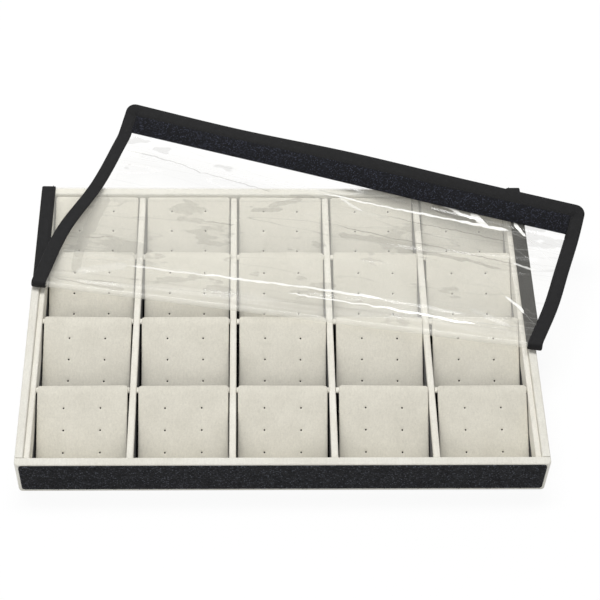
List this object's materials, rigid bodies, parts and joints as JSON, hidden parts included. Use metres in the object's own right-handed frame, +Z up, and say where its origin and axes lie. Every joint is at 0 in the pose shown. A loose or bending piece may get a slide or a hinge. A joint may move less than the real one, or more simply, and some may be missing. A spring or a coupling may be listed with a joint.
{
  "type": "earring display tray",
  "caption": "Shallow display tray with slanted pierced cards in a divider grid and a bound clear cover folded back on itself.",
  "frame": {"origin": "middle of the underside face of the tray", "axes": "+X to the tray's right, +Y to its back, +Z up; the long side runs along X"},
  "size_m": [0.3894, 0.3168, 0.0522],
  "materials": {
    "wrapped_board": "matte",
    "suede_divider": "matte",
    "suede_card": "matte",
    "dark_lining": "matte",
    "underside_felt": "matte",
    "loop_tape": "matte",
    "hook_tape": "matte",
    "woven_binding": "matte",
    "clear_sheet": "gloss"
  },
  "bodies": {
    "tray": {"underside_fabric": "underside_felt", "base_board": "wrapped_board", "floor_lining": "dark_lining", "front_wall": "wrapped_board", "rear_wall": "wrapped_board", "left_wall": "wrapped_board", "right_wall": "wrapped_board", "left_liner": "suede_divider", "right_liner": "suede_divider", "long_divider_1": "suede_divider", "long_divider_2": "suede_divider", "long_divider_3": "suede_divider", "long_divider_4": "suede_divider", "cross_divider_1": "suede_divider", "cross_divider_2": "suede_divider", "cross_divider_3": "suede_divider", "front_loop_strip": "loop_tape", "rear_skirt_film": "clear_sheet", "rear_hem_tape": "woven_binding"},
    "cover_rear": {"cover_rear_film": "clear_sheet", "cover_rear_binding_left": "woven_binding", "cover_rear_binding_right": "woven_binding", "cover_curl_film": "clear_sheet", "cover_curl_binding_left": "woven_binding", "cover_curl_binding_right": "woven_binding"},
    "cover_front": {"cover_front_film": "clear_sheet", "cover_front_binding_left": "woven_binding", "cover_front_binding_right": "woven_binding"},
    "cover_flap": {"cover_flap_film": "clear_sheet", "cover_flap_binding": "woven_binding", "flap_hook_strip": "hook_tape"},
    "card_r1c1": {"card_r1c1": "suede_card"},
    "card_r1c2": {"card_r1c2": "suede_card"},
    "card_r1c3": {"card_r1c3": "suede_card"},
    "card_r1c4": {"card_r1c4": "suede_card"},
    "card_r1c5": {"card_r1c5": "suede_card"},
    "card_r2c1": {"card_r2c1": "suede_card"},
    "card_r2c2": {"card_r2c2": "suede_card"},
    "card_r2c3": {"card_r2c3": "suede_card"},
    "card_r2c4": {"card_r2c4": "suede_card"},
    "card_r2c5": {"card_r2c5": "suede_card"},
    "card_r3c1": {"card_r3c1": "suede_card"},
    "card_r3c2": {"card_r3c2": "suede_card"},
    "card_r3c3": {"card_r3c3": "suede_card"},
    "card_r3c4": {"card_r3c4": "suede_card"},
    "card_r3c5": {"card_r3c5": "suede_card"},
    "card_r4c1": {"card_r4c1": "suede_card"},
    "card_r4c2": {"card_r4c2": "suede_card"},
    "card_r4c3": {"card_r4c3": "suede_card"},
    "card_r4c4": {"card_r4c4": "suede_card"},
    "card_r4c5": {"card_r4c5": "suede_card"}
  },
  "joints": [
    {"name": "cover_lift", "type": "hinge", "parent": "tray", "child": "cover_rear", "pos_m": [0, 0.12025, 0.0332], "axis": [-1, 0, 0], "range_deg": [0, 88]},
    {"name": "cover_fold", "type": "hinge", "parent": "cover_rear", "child": "cover_front", "pos_m": [0, 0.001, 0.0356], "axis": [-0.9877, 0.1564, 0], "range_deg": [-179.5, 0], "deforming": ["cover_curl_film", "cover_curl_binding_left", "cover_curl_binding_right"]},
    {"name": "flap_bend", "type": "hinge", "parent": "cover_front", "child": "cover_flap", "pos_m": [0.03838, 0.1191, 0.03907], "axis": [-0.9511, 0.309, 0.0014], "range_deg": [-65, 0]},
    {"name": "card_r1c1_lift", "type": "slide", "parent": "tray", "child": "card_r1c1", "axis": [0, 0, 1], "range_m": [0, 0.0012]},
    {"name": "card_r1c2_lift", "type": "slide", "parent": "tray", "child": "card_r1c2", "axis": [0, 0, 1], "range_m": [0, 0.0012]},
    {"name": "card_r1c3_lift", "type": "slide", "parent": "tray", "child": "card_r1c3", "axis": [0, 0, 1], "range_m": [0, 0.0012]},
    {"name": "card_r1c4_lift", "type": "slide", "parent": "tray", "child": "card_r1c4", "axis": [0, 0, 1], "range_m": [0, 0.0012]},
    {"name": "card_r1c5_lift", "type": "slide", "parent": "tray", "child": "card_r1c5", "axis": [0, 0, 1], "range_m": [0, 0.0012]},
    {"name": "card_r2c1_lift", "type": "slide", "parent": "tray", "child": "card_r2c1", "axis": [0, 0, 1], "range_m": [0, 0.0012]},
    {"name": "card_r2c2_lift", "type": "slide", "parent": "tray", "child": "card_r2c2", "axis": [0, 0, 1], "range_m": [0, 0.0012]},
    {"name": "card_r2c3_lift", "type": "slide", "parent": "tray", "child": "card_r2c3", "axis": [0, 0, 1], "range_m": [0, 0.0012]},
    {"name": "card_r2c4_lift", "type": "slide", "parent": "tray", "child": "card_r2c4", "axis": [0, 0, 1], "range_m": [0, 0.0012]},
    {"name": "card_r2c5_lift", "type": "slide", "parent": "tray", "child": "card_r2c5", "axis": [0, 0, 1], "range_m": [0, 0.0012]},
    {"name": "card_r3c1_lift", "type": "slide", "parent": "tray", "child": "card_r3c1", "axis": [0, 0, 1], "range_m": [0, 0.045]},
    {"name": "card_r3c2_lift", "type": "slide", "parent": "tray", "child": "card_r3c2", "axis": [0, 0, 1], "range_m": [0, 0.045]},
    {"name": "card_r3c3_lift", "type": "slide", "parent": "tray", "child": "card_r3c3", "axis": [0, 0, 1], "range_m": [0, 0.0012]},
    {"name": "card_r3c4_lift", "type": "slide", "parent": "tray", "child": "card_r3c4", "axis": [0, 0, 1], "range_m": [0, 0.0012]},
    {"name": "card_r3c5_lift", "type": "slide", "parent": "tray", "child": "card_r3c5", "axis": [0, 0, 1], "range_m": [0, 0.0012]},
    {"name": "card_r4c1_lift", "type": "slide", "parent": "tray", "child": "card_r4c1", "axis": [0, 0, 1], "range_m": [0, 0.045]},
    {"name": "card_r4c2_lift", "type": "slide", "parent": "tray", "child": "card_r4c2", "axis": [0, 0, 1], "range_m": [0, 0.045]},
    {"name": "card_r4c3_lift", "type": "slide", "parent": "tray", "child": "card_r4c3", "axis": [0, 0, 1], "range_m": [0, 0.045]},
    {"name": "card_r4c4_lift", "type": "slide", "parent": "tray", "child": "card_r4c4", "axis": [0, 0, 1], "range_m": [0, 0.045]},
    {"name": "card_r4c5_lift", "type": "slide", "parent": "tray", "child": "card_r4c5", "axis": [0, 0, 1], "range_m": [0, 0.045]}
  ]
}
